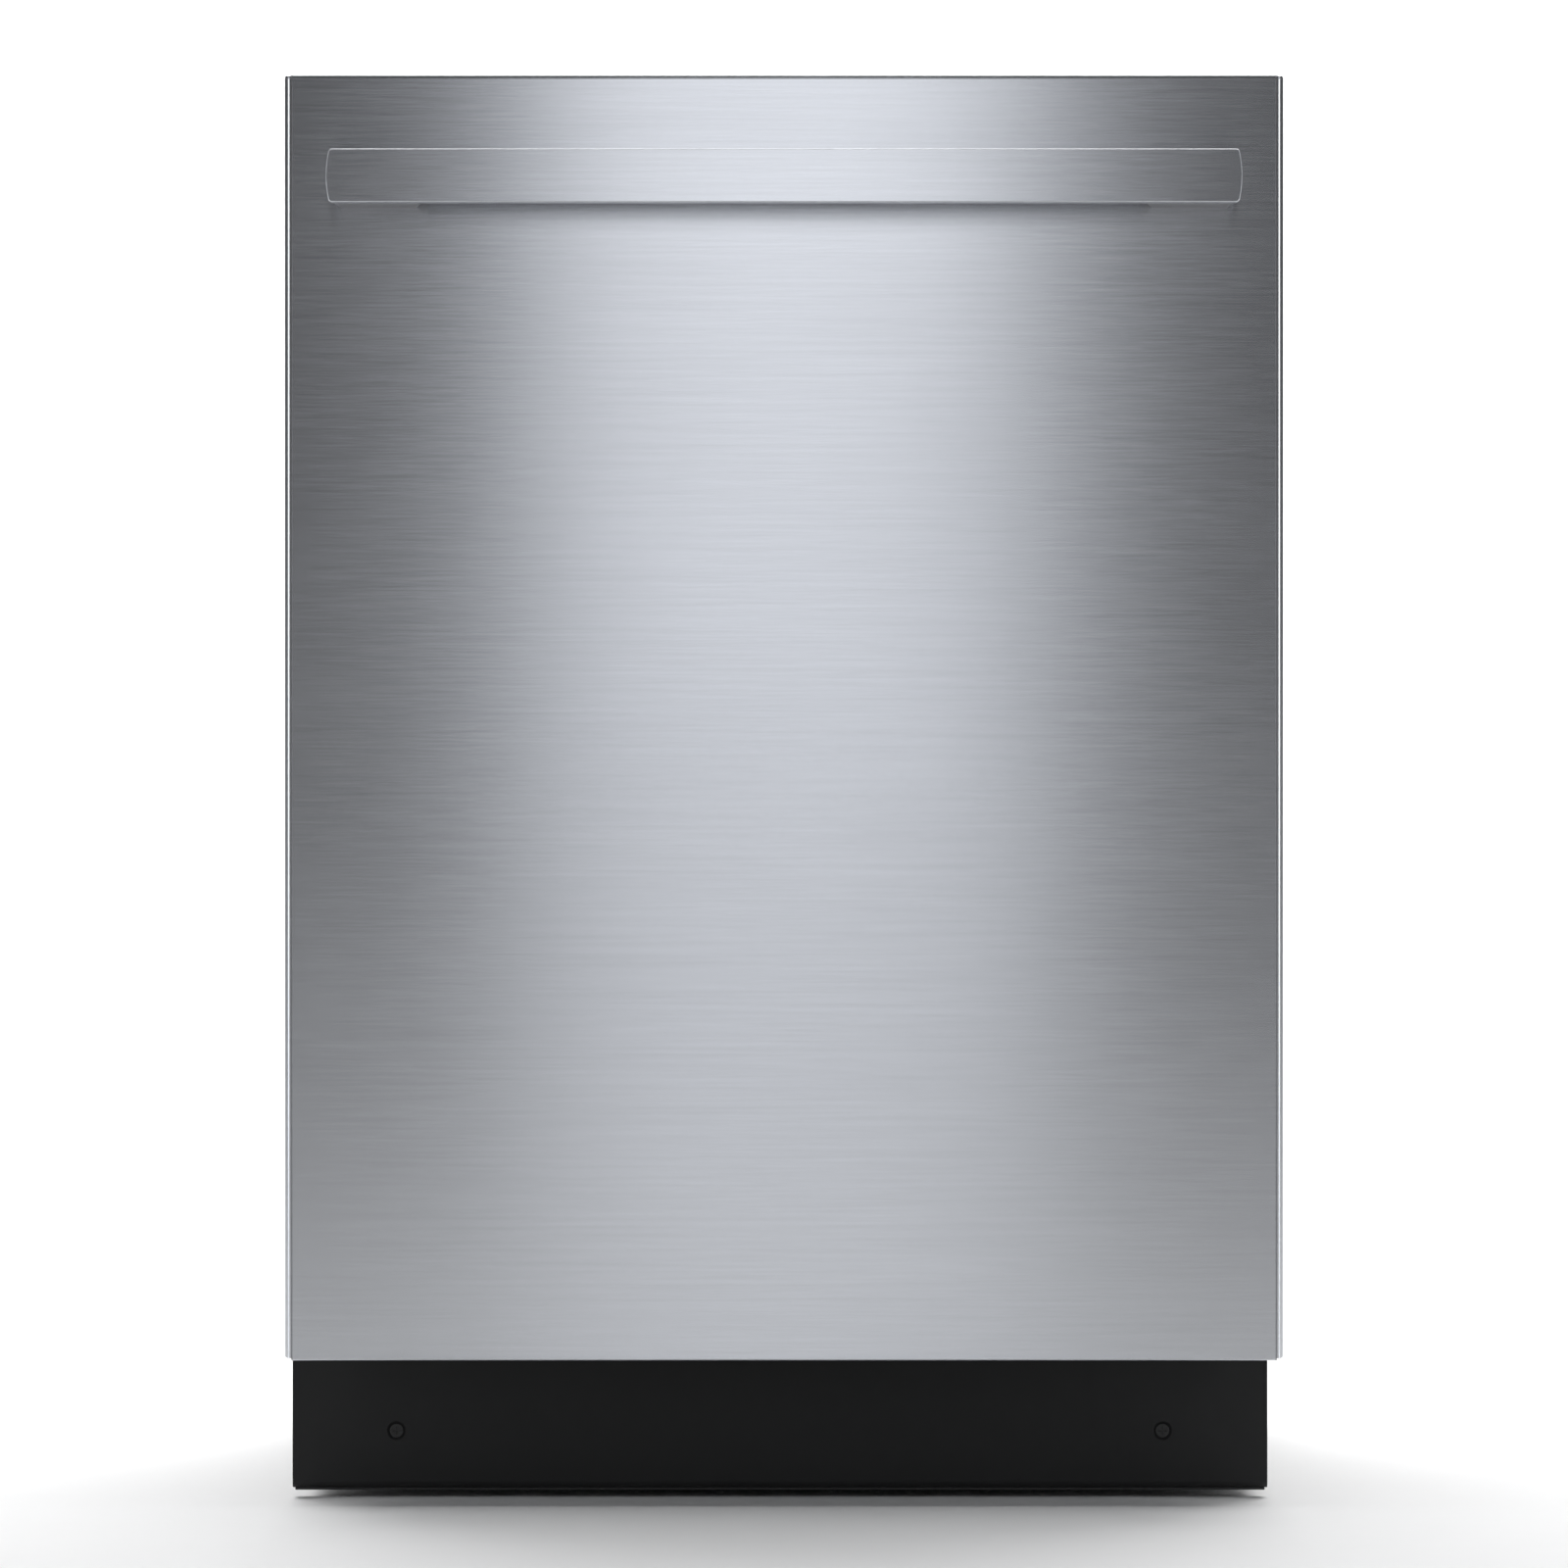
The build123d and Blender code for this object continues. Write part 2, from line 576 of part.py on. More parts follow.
PULLEY = (-165.0, 98.0)
PULLEY_R = 9.0
hinge_brackets = []
for side in (-1, 1):
    with BuildPart() as bracket:
        with BuildSketch(Plane.YZ.offset(side * (BASE_HALF + 0.05))):
            with Locations((HINGE_Y, HINGE_Z)):
                Circle(9)
            with BuildLine():
                Polyline(
                    (HINGE_Y, HINGE_Z - 8),
                    (HINGE_Y, HINGE_Z + 1.8),
                    (-150, HINGE_Z + 1.8),
                    (-150, 60),
                    (-205, 60),
                    (-205, HINGE_Z - 8),
                    close=True,
                )
            make_face()
        extrude(amount=side * 3.0)
        rod((side * (BASE_HALF + 1), HINGE_Y, HINGE_Z), (side, 0, 0), 4.0, 6.6)
        rod((side * (BASE_HALF + 1), PULLEY[0], PULLEY[1]), (side, 0, 0), 3.0, 7.6)
    hinge_brackets.append(bracket.part)
save_group(hinge_brackets, "hinge_brackets")

pulleys = []
for side in (-1, 1):
    with BuildPart() as pulley:
        rod((side * (BASE_HALF + 3.4), *PULLEY), (side, 0, 0), PULLEY_R, 4.2)
        with Locations(Plane(origin=(side * (BASE_HALF + 5.5), *PULLEY), z_dir=(1, 0, 0))):
            Torus(PULLEY_R + 0.4, 1.3, mode=Mode.SUBTRACT)
        rod((side * BASE_HALF, *PULLEY), (side, 0, 0), 3.05, 9, Mode.SUBTRACT)
    pulleys.append(pulley.part)
save_group(pulleys, "cable_pulleys")

# ---------------------------------------------------------------- tub

FLANGE_TOP = 848.0
TAB_X, TAB_SCREW_Z = 200.0, 843.5

with BuildPart() as tub:
    with BuildSketch(Plane.XZ.offset(-TUB_FRONT)):
        with BuildLine():
            Polyline(
                (-TUB_HALF, TUB_TOP),
                (TUB_HALF, TUB_TOP),
                (TUB_HALF, LEDGE_Z - TUB_SHEET),
                (242, LEDGE_Z - TUB_SHEET),
                (236, TUB_FLOOR),
                (-236, TUB_FLOOR),
                (-242, LEDGE_Z - TUB_SHEET),
                (-TUB_HALF, LEDGE_Z - TUB_SHEET),
                close=True,
            )
        make_face()
        fillet(vertices().group_by(Axis.Y)[-1], 22)
        fillet(vertices().group_by(Axis.Y)[0], 2.5)
    extrude(amount=-(TUB_BACK - TUB_FRONT))
    fillet(tub.faces().sort_by(Axis.Y)[-1].edges(), 6)
    offset(amount=-TUB_SHEET, openings=tub.faces().sort_by(Axis.Y)[0])
    with BuildSketch(Plane.XZ.offset(-TUB_FRONT)):
        with Locations((0, (LINER_LOW + FLANGE_TOP) / 2)):
            RectangleRounded(580, FLANGE_TOP - LINER_LOW, 14)
        with Locations((0, (TUB_TOP + LEDGE_Z) / 2 - 0.6)):
            Rectangle(2 * TUB_HALF - 2, TUB_TOP - LEDGE_Z - 1, mode=Mode.SUBTRACT)
        with Locations((0, LEDGE_Z)):
            Rectangle(472, 27, mode=Mode.SUBTRACT)
    extrude(amount=-TUB_SHEET)
    rod((SUMP[0], SUMP[1], 120), (0, 0, 1), 92, 20, Mode.SUBTRACT)
    rod((0, 289, 120), (0, 0, 1), 7.9, 20, Mode.SUBTRACT)
    for x in (-TAB_X, TAB_X):
        rod((x, TUB_FRONT - 4, TAB_SCREW_Z), (0, 1, 0), 1.7, 8, Mode.SUBTRACT)
save(tub, "tub")

with BuildPart() as side_posts:
    both_sides((278.6, TUB_FRONT + 1.4, 120.2), (289.8, TUB_FRONT + 3.0, 838))
    both_sides((278.6, TUB_FRONT + 1.4, 120.2), (280.2, TUB_FRONT + 26, 838))

GASKET_X = 274.0
with BuildPart() as gasket:
    with BuildSketch(Plane.XZ.offset(-TUB_FRONT)):
        with BuildLine():
            Polyline(
                (-GASKET_X, 152),
                (-GASKET_X, TUB_TOP + 2),
                (GASKET_X, TUB_TOP + 2),
                (GASKET_X, 152),
                (GASKET_X + 8, 152),
                (GASKET_X + 8, TUB_TOP + 10),
                (-GASKET_X - 8, TUB_TOP + 10),
                (-GASKET_X - 8, 152),
                close=True,
            )
        make_face()
    extrude(amount=7.6)
    fillet(gasket.faces().sort_by(Axis.Y)[0].edges(), 2.5)
save(gasket, "tub_gasket")

tabs, tab_screws = [], []
for x in (-TAB_X, TAB_X):
    with BuildPart() as tab:
        block((x - 17, TUB_FRONT - 1.3, 839), (x + 17, TUB_FRONT - 0.1, HEIGHT))
        block((x - 17, TUB_FRONT - 1.3, HEIGHT - 1.2), (x + 17, TUB_FRONT + 34, HEIGHT))
        fillet(tab.edges().filter_by(Axis.Z).group_by(Axis.Y)[-1], 4)
        rod((x, TUB_FRONT + 20, HEIGHT - 4), (0, 0, 1), 2.3, 8, Mode.SUBTRACT)
        rod((x, TUB_FRONT - 4, TAB_SCREW_Z), (0, 1, 0), 1.6, 8, Mode.SUBTRACT)
    tabs.append(tab.part)
    tab_screws.append(pan_screw((x, TUB_FRONT - 1.32, TAB_SCREW_Z), (0, 1, 0), 3.2, 1.5, 6))

with BuildPart() as strike:
    block((-STRIKE_HALF, -232, 848.5), (STRIKE_HALF, TUB_FRONT - 0.1, 851.5))
    block((-20, TUB_FRONT - 2.4, 839), (20, TUB_FRONT - 0.1, 851.5))
    fillet(strike.edges().filter_by(Axis.Z).group_by(Axis.Y)[0], 3)
    block((-5, -228, 848), (5, -220, 852), Mode.SUBTRACT)
save_group(tabs + [strike.part], "flange_fittings")
save_group(kick_screws + tab_screws, "body_screws")

with BuildPart() as mats:
    both_sides((TUB_HALF + 0.05, -170, 190), (TUB_HALF + 2.5, 270, 790))
    block((-240, -170, TUB_TOP + 0.05), (240, 270, TUB_TOP + 2.5))
    block((-240, TUB_BACK + 0.05, 190), (240, TUB_BACK + 2.5, 790))
save_group(mats.part.solids(), "damping_mats")

# ---------------------------------------------------------------- water system

with BuildPart() as sump:
    rod((*SUMP, 84), (0, 0, 1), 90, TUB_FLOOR - 84.1)
    rod((*SUMP, TUB_FLOOR - 4), (0, 0, 1), 104, 3.9)
    rod((*SUMP, 88), (0, 0, 1), 86, 60, Mode.SUBTRACT)
    fillet(sump.edges().group_by(Axis.Z)[0], 8)
    rod((SUMP[0] - 84, SUMP[1] + 25, 102), (-1, 0, 0), 13, 24)
    rod((SUMP[0] - 80, SUMP[1] + 25, 102), (-1, 0, 0), 10.5, 40, Mode.SUBTRACT)
save(sump, "sump")

CUP = (56.0, -10.0)
LOW_ARM_Z, MID_ARM_Z, TOP_ARM_Z = 143.0, 478.0, 789.0
with BuildPart() as filter_plate:
    rod((*SUMP, TUB_FLOOR + TUB_SHEET + 0.05), (0, 0, 1), 102, 2)
    fillet(filter_plate.edges().group_by(Axis.Z)[-1], 1)
    # the hub that carries and feeds the lower spray arm
    rod((ARM_X, ARM_Y, 88.05), (0, 0, 1), 15.9, LOW_ARM_Z - 88.35)
    rod((ARM_X, ARM_Y, 100), (0, 0, 1), 7.9, LOW_ARM_Z + 16 - 100)
    rod((ARM_X, ARM_Y, LOW_ARM_Z + 14.4), (0, 0, 1), 11, 1.6)
    rod((ARM_X, ARM_Y, 80), (0, 0, 1), 5.5, 120, Mode.SUBTRACT)
    rod((*CUP, TUB_FLOOR - 10), (0, 0, 1), 38.6, 30, Mode.SUBTRACT)
save(filter_plate, "filter_plate")

with BuildPart() as filter_cup:
    rod((*CUP, 90), (0, 0, 1), 36, TUB_FLOOR + 3.4 - 90)
    rod((*CUP, TUB_FLOOR + 3.4), (0, 0, 1), 42, 1.4)
    rod((*CUP, 92), (0, 0, 1), 34, 60, Mode.SUBTRACT)
    block((CUP[0] - 35, CUP[1] - 2, TUB_FLOOR + 1), (CUP[0] + 35, CUP[1] + 2, TUB_FLOOR + 7))
    block((CUP[0] - 2, CUP[1] - 35, TUB_FLOOR + 1), (CUP[0] + 2, CUP[1] + 35, TUB_FLOOR + 7))
save(filter_cup, "filter_cup")

def spray_arm(node, z, reach, turn):
    """A hollow two-ended arm on a round hub: the ends twist one way and the top has a row of jets."""
    with BuildPart() as arm:
        with BuildSketch(Plane.XY.offset(z + 1.5)):
            with Locations((ARM_X, ARM_Y)):
                SlotOverall(2 * reach, 40)
        extrude(amount=11)
        fillet(arm.faces().sort_by(Axis.Z)[-1].edges(), 3)
        fillet(arm.faces().sort_by(Axis.Z)[0].edges(), 3)
        rod((ARM_X, ARM_Y, z), (0, 0, 1), 22, 14)
        for step in spread(50, reach - 20, 6):
            for side, shift in ((-1, 6), (1, -6)):
                rod((ARM_X + side * step, ARM_Y + shift, z + 9), (0, 0, turn), 2.2, 8, Mode.SUBTRACT)
        rod((ARM_X, ARM_Y, z - 1), (0, 0, 1), 8.0, 20, Mode.SUBTRACT)
    save(arm, node)


spray_arm("lower_spray_arm", LOW_ARM_Z, 222, 1)
spray_arm("upper_spray_arm", MID_ARM_Z, 222, 1)
spray_arm("top_spray_arm", TOP_ARM_Z, 150, 1)

with BuildPart() as feed_pipe:
    with BuildLine() as feed_route:
        FilletPolyline(
            (ARM_X, 289, 121),
            (ARM_X, 289, 814),
            (ARM_X, ARM_Y, 814),
            radius=20,
        )
    with BuildSketch(Plane(origin=(ARM_X, 289, 121), z_dir=(0, 0, 1))):
        Circle(7.5)
    sweep()
    rod((ARM_X, ARM_Y, TOP_ARM_Z + 14.4), (0, 0, 1), 14, 818 - TOP_ARM_Z - 14)
    rod((ARM_X, ARM_Y, TOP_ARM_Z - 1.6), (0, 0, 1), 7.9, 20)
    rod((ARM_X, ARM_Y, TOP_ARM_Z - 2), (0, 0, 1), 11, 1.7)
save(feed_pipe, "feed_pipe")

with BuildPart() as pump:
    rod((-190, 45, 78), (1, 0, 0), 38, 62)
    rod((-128.2, 45, 78), (1, 0, 0), 46, 26)
    fillet(pump.faces().sort_by(Axis.X)[0].edges(), 6)
    rod((-103, 45, 102), (1, 0, 0), 12.5, 18)
    block((-180, 20, 29), (-140, 70, 45))


with BuildPart() as heater:
    rod((-170, -60, 29), (0, 0, 1), 40, 60)
    fillet(heater.edges().group_by(Axis.Z)[-1], 6)
    rod((-170, -60, 88), (0, 0, 1), 11, 20)
save(heater, "flow_heater")

with BuildPart() as drain_pump:
    rod((-40, 168, 60), (0, 1, 0), 24, 52)
    rod((-40, 140, 60), (0, 1, 0), 30, 28.2)
    fillet(drain_pump.faces().sort_by(Axis.Y)[-1].edges(), 4)
    with BuildLine():
        FilletPolyline((-60, 154, 66), (DRAIN[0], 154, 66), (DRAIN[0], BACK - 22, DRAIN[1]), radius=24)
    with BuildSketch(Plane(origin=(-60, 154, 66), z_dir=(-1, 0, 0))):
        Circle(8)
    sweep()
    rod((DRAIN[0], BACK - 22.1, DRAIN[1]), (0, 1, 0), 9.5, 22.1)
    rod((DRAIN[0], BACK - 24, DRAIN[1]), (0, 1, 0), 15, 4)
    rod((DRAIN[0], BACK - 18, DRAIN[1]), (0, 1, 0), 6.5, 30, Mode.SUBTRACT)
save_group([pump.part, drain_pump.part], "pumps")

with BuildPart() as inlet_valve:
    block((INLET[0] - 18, BACK - 62, INLET[1] - 18), (INLET[0] + 18, BACK - 22, INLET[1] + 18))
    fillet(inlet_valve.edges(), 3)
    rod((INLET[0], BACK - 23, INLET[1]), (0, 1, 0), 18, 4)
    rod((INLET[0], BACK - 20, INLET[1]), (0, 1, 0), 13.2, 20)
    rod((INLET[0], BACK - 16, INLET[1]), (0, 1, 0), 9.5, 30, Mode.SUBTRACT)
    rod((INLET[0], BACK - 46, INLET[1] + 17), (0, 0, 1), 13, 22)
save(inlet_valve, "inlet_valve")

with BuildPart() as junction_box:
    block((120, -196, 42), (196, -148, 108))
    fillet(junction_box.edges(), 3)
    block((124, -197.2, 46), (192, -195.9, 104))
    rod((158, -198.4, 75), (0, 1, 0), 3.4, 2)
save(junction_box, "junction_box")

# ---------------------------------------------------------------- balance springs

SPRING_X, SPRING_Y = 287.0, -150.0
SPRING_LOW, SPRING_HIGH = 232.0, 420.0
springs, spring_tops, spring_hooks = [], [], []
for side in (-1, 1):
    with BuildPart() as spring:
        with BuildLine(Plane.XY.offset(SPRING_LOW)) as coil:
            Helix(7.0, SPRING_HIGH - SPRING_LOW, 6.0, center=(side * SPRING_X, SPRING_Y, 0))
        with BuildSketch(Plane(origin=coil.line @ 0, z_dir=coil.line % 0)):
            RegularPolygon(1.2, 12)
        sweep(is_frenet=True)
    springs.append(spring.part)
    with BuildPart() as spring_top:
        rod((side * SPRING_X, SPRING_Y, SPRING_HIGH + 1.5), (0, 0, 1), 7, 4)
        low, high = sorted((side * 279.2, side * (SPRING_X + 2)))
        block((low, SPRING_Y - 7, SPRING_HIGH + 5), (high, SPRING_Y + 7, SPRING_HIGH + 8))
        inner, outer = sorted((side * 277.0, side * 279.4))
        block((inner, TUB_FRONT + 26.2, SPRING_HIGH - 14), (outer, SPRING_Y + 7, SPRING_HIGH + 8))
    spring_tops.append(spring_top.part)
    with BuildPart() as spring_hook:
        rod((side * SPRING_X, SPRING_Y, SPRING_LOW - 5.4), (0, 0, 1), 7, 4)
        rod((side * SPRING_X, SPRING_Y, SPRING_LOW - 20), (0, 0, 1), 2, 15)
    spring_hooks.append(spring_hook.part)
save_group(springs, "balance_springs")
save_group([side_posts.part] + spring_tops, "side_posts")
save_group(spring_hooks, "spring_hooks")

# ---------------------------------------------------------------- rails for the upper and third racks

RAIL_Z = (600.0, 750.0)
RAIL_FRONT, RAIL_LONG = -200.0, 470.0
TUB_INSIDE = TUB_HALF - TUB_SHEET


def channel_pair(web_x, flange_x, half_high, wall, front):
    """Two mirrored C rails, open towards the middle of the tub, at both rail heights."""
    rails = []
    for z in RAIL_Z:
        for side in (-1, 1):
            with BuildPart() as rail:
                low, high = sorted((side * flange_x, side * web_x))
                block((low, front, z - half_high), (high, front + RAIL_LONG, z + half_high))
                low, high = sorted((side * (flange_x - 1), side * (web_x - wall)))
                block(
                    (low, front - 1, z - half_high + wall),
                    (high, front + RAIL_LONG + 1, z + half_high - wall),
                    Mode.SUBTRACT,
                )
            rails.append(rail.part)
    return rails


save_group(channel_pair(TUB_INSIDE, 258.0, 15.0, 1.4, RAIL_FRONT), "rails_outer")
save_group(channel_pair(270.6, 255.5, 12.0, 1.2, RAIL_FRONT - 2), "rails_middle")

inner_rails = []
for z in RAIL_Z:
    for side in (-1, 1):
        low, high = sorted((side * 250.0, side * 268.0))
        with BuildPart() as inner_rail:
            block((low, RAIL_FRONT - 4, z - 9), (high, RAIL_FRONT - 4 + RAIL_LONG, z + 9))
            chamfer(inner_rail.edges().filter_by(Axis.Y), 1.5)
        inner_rails.append(inner_rail.part)
save_group(inner_rails, "rails_inner")

# ---------------------------------------------------------------- lower rack

FLOOR_Z = 170.0
LOW_RIM_Z = 300.0
WHEEL_R = 14.0
WHEEL_Z = LEDGE_Z + 0.3 + WHEEL_R
WHEEL_Y = {"lower_wheels_front": -121.0, "lower_wheels_rear": 215.0}
STEP = 2 * WIRE_R + TOUCH


def basket(floor_z, top_z, half, front, back, along, across):
    """Straight wires: a crossed floor and uprights round the four sides, welded where they pass."""
    wires = []
    side_x = half - RIM_R - WIRE_R - TOUCH
    front_y, back_y = front + RIM_R + WIRE_R + TOUCH, back - RIM_R - WIRE_R - TOUCH
    for x in spread(-side_x + 24, side_x - 24, along):
        length = back_y - front_y + 2 * WIRE_R
        wires.append(straight_wire((x, front_y - WIRE_R, floor_z), (0, 1, 0), WIRE_R, length))
        for y in (front_y, back_y):
            wires.append(straight_wire((x, y, floor_z + WIRE_R + TOUCH), (0, 0, 1), WIRE_R, top_z - floor_z))
    for y in spread(front_y + 24, back_y - 24, across):
        length = 2 * side_x + 2 * WIRE_R
        wires.append(straight_wire((-side_x - WIRE_R, y, floor_z + STEP), (1, 0, 0), WIRE_R, length))
        for x in (-side_x, side_x):
            foot = floor_z + STEP + WIRE_R + TOUCH
            wires.append(straight_wire((x, y, foot), (0, 0, 1), WIRE_R, top_z - floor_z - STEP))
    return wires


def tine_row(y, z, x_low, x_high, count, high):
    """A base wire along X with upright tines standing on it."""
    row = [straight_wire((x_low - 6, y, z), (1, 0, 0), WIRE_R, x_high - x_low + 12)]
    for x in spread(x_low, x_high, count):
        row.append(straight_wire((x, y, z + WIRE_R + TOUCH), (0, 0, 1), TINE_R, high))
    return row


TINE_Z = FLOOR_Z + 2 * STEP
lower_rack = basket(FLOOR_Z, LOW_RIM_Z, 243.0, RACK_FRONT, RACK_BACK, 9, 8)
for z in (LOW_RIM_Z, 235.0):
    lower_rack += rim(z, 243.0 - RIM_R, RACK_FRONT + RIM_R, RACK_BACK - RIM_R, RIM_R)
for y in (-130.0, -50.0):
    lower_rack += tine_row(y, TINE_Z, -205, 125, 9, 68)
save_group(lower_rack, "lower_rack")

FOLD_Y = {"fold_row_front": 60.0, "fold_row_rear": 150.0}
for node, y in FOLD_Y.items():
    save_group(tine_row(y, TINE_Z + 0.8, -205, 125, 9, 68), node)

carriers = []
for y in WHEEL_Y.values():
    for side in (-1, 1):
        with BuildPart() as carrier:
            low, high = sorted((side * 243.15, side * 247.4))
            block((low, y - 14, WHEEL_Z - 8), (high, y + 14, 240))
            chamfer(carrier.edges().filter_by(Axis.X), 3)
            rod((side * 247.3, y, WHEEL_Z), (side, 0, 0), 4.0, 13.4)
            rod((side * 259.2, y, WHEEL_Z), (side, 0, 0), 6.0, 1.6)
        carriers.append(carrier.part)
save_group(carriers, "wheel_carriers")

for node, y in WHEEL_Y.items():
    pair = []
    for side in (-1, 1):
        with BuildPart() as wheel:
            rod((side * 248.0, y, WHEEL_Z), (side, 0, 0), WHEEL_R, 10.8)
            fillet(wheel.edges(), 1.2)
            rod((side * 247.0, y, WHEEL_Z), (side, 0, 0), 4.06, 14, Mode.SUBTRACT)
        pair.append(wheel.part)
    save_group(pair, node)

# a tall plastic basket for cutlery, open at the top, with six cells and a carrying handle
BASKET_LOW, BASKET_HIGH = TINE_Z + 2.2, 292.0
BASKET_X, BASKET_Y = (148.0, 222.0), (-145.0, 145.0)
with BuildPart() as cutlery_basket:
    block((BASKET_X[0], BASKET_Y[0], BASKET_LOW), (BASKET_X[1], BASKET_Y[1], BASKET_HIGH))
    fillet(cutlery_basket.edges().filter_by(Axis.Z), 8)
    offset(amount=-1.8, openings=cutlery_basket.faces().sort_by(Axis.Z)[-1])
    middle = sum(BASKET_X) / 2
    for y in (-75, 0, 75):
        block((BASKET_X[0] + 1, y - 0.9, BASKET_LOW + 1), (BASKET_X[1] - 1, y + 0.9, BASKET_HIGH))
    block((middle - 0.9, BASKET_Y[0] + 1, BASKET_LOW + 1), (middle + 0.9, BASKET_Y[1] - 1, BASKET_HIGH))
    # handle: two posts on the long divider and a grip
    for y in (-60, 60):
        block((middle - 3, y - 7, BASKET_HIGH - 30), (middle + 3, y + 7, BASKET_HIGH + 60))
    block((middle - 7, -67, BASKET_HIGH + 52), (middle + 7, 67, BASKET_HIGH + 66))
save(cutlery_basket, "cutlery_basket")

# ---------------------------------------------------------------- upper rack

UP_FLOOR_Z = 520.0
UP_RIM_Z = 640.0
UP_BACK = 255.0
upper_rack = basket(UP_FLOOR_Z, UP_RIM_Z, 243.0, RACK_FRONT, UP_BACK, 9, 8)
for z in (UP_RIM_Z, 580.0):
    upper_rack += rim(z, 243.0 - RIM_R, RACK_FRONT + RIM_R, UP_BACK - RIM_R, RIM_R)
for y in (-110.0, 20.0, 150.0):
    upper_rack += tine_row(y, UP_FLOOR_Z + 2 * STEP, -205, 205, 9, 48)
save_group(upper_rack, "upper_rack")

with BuildPart() as upper_feed:
    block((-11, ARM_Y - 10, UP_FLOOR_Z - 16), (11, 268, UP_FLOOR_Z - 2.2))
    fillet(upper_feed.edges().filter_by(Axis.Y), 5)
    rod((0, 266, UP_FLOOR_Z - 9), (0, 1, 0), 7, 12)
    rod((ARM_X, ARM_Y, MID_ARM_Z + 14.4), (0, 0, 1), 14, UP_FLOOR_Z - 3 - MID_ARM_Z - 14.4)
    rod((ARM_X, ARM_Y, MID_ARM_Z - 1.6), (0, 0, 1), 7.9, 20)
    rod((ARM_X, ARM_Y, MID_ARM_Z - 2), (0, 0, 1), 11, 1.7)
save(upper_feed, "upper_feed")

adjusters = []
for side in (-1, 1):
    for y in (-90.0, 150.0):
        with BuildPart() as adjuster:
            low, high = sorted((side * 244.2, side * 249.9))
            block((low, y - 26, 560), (high, y + 26, 652))
            chamfer(adjuster.edges().filter_by(Axis.X), 5)
        adjusters.append(adjuster.part)

# ---------------------------------------------------------------- third rack

TRAY_Z = 736.0
TRAY_RIM_Z = 768.0
TRAY_BACK = 255.0
third_rack = basket(TRAY_Z, TRAY_RIM_Z, 243.0, RACK_FRONT, TRAY_BACK, 9, 9)
third_rack += rim(TRAY_RIM_Z, 243.0 - RIM_R, RACK_FRONT + RIM_R, TRAY_BACK - RIM_R, RIM_R)
save_group(third_rack, "third_rack")
clips = []
for side in (-1, 1):
    for y in (-120.0, 0.0, 170.0):
        with BuildPart() as clip:
            low, high = sorted((side * 243.1, side * 249.9))
            block((low, y - 15, 743), (high, y + 15, 770))
            chamfer(clip.edges().filter_by(Axis.X), 4)
        clips.append(clip.part)
save_group(adjusters + clips, "rack_brackets")
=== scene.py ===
"""Looks of a built-in dishwasher: brushed steel door and bar, black toe kick, steel tub, wire racks."""

import math

import bpy
import numpy as np
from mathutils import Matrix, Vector


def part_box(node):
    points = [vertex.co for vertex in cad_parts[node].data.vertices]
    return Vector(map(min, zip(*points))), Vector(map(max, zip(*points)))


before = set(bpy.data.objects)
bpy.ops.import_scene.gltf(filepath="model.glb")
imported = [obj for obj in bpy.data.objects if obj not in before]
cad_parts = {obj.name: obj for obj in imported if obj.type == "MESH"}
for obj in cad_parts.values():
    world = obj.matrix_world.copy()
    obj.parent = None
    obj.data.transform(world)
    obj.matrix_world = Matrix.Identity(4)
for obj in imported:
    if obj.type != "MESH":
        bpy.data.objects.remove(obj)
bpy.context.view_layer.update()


# ---------------------------------------------------------------- camera
# Straight in front of the door, at the height of its middle, far off and with a long lens.

CAMERA_BACK = 4.878
CAMERA_HEIGHT = 0.4328
SENSOR_WIDTH = 36.0
LENS = 176.5

camera = bpy.data.objects.new("camera", bpy.data.cameras.new("camera"))
camera.data.sensor_width = SENSOR_WIDTH
camera.data.lens = LENS
camera.data.clip_end = 60.0
camera.location = (0.0, -CAMERA_BACK, CAMERA_HEIGHT)
camera.rotation_euler = (math.pi / 2, 0.0, 0.0)
bpy.context.collection.objects.link(camera)
bpy.context.scene.camera = camera

# ---------------------------------------------------------------- floor
# One plain pale sheet, painted evenly: it lies flat under the machine and curves up behind it.


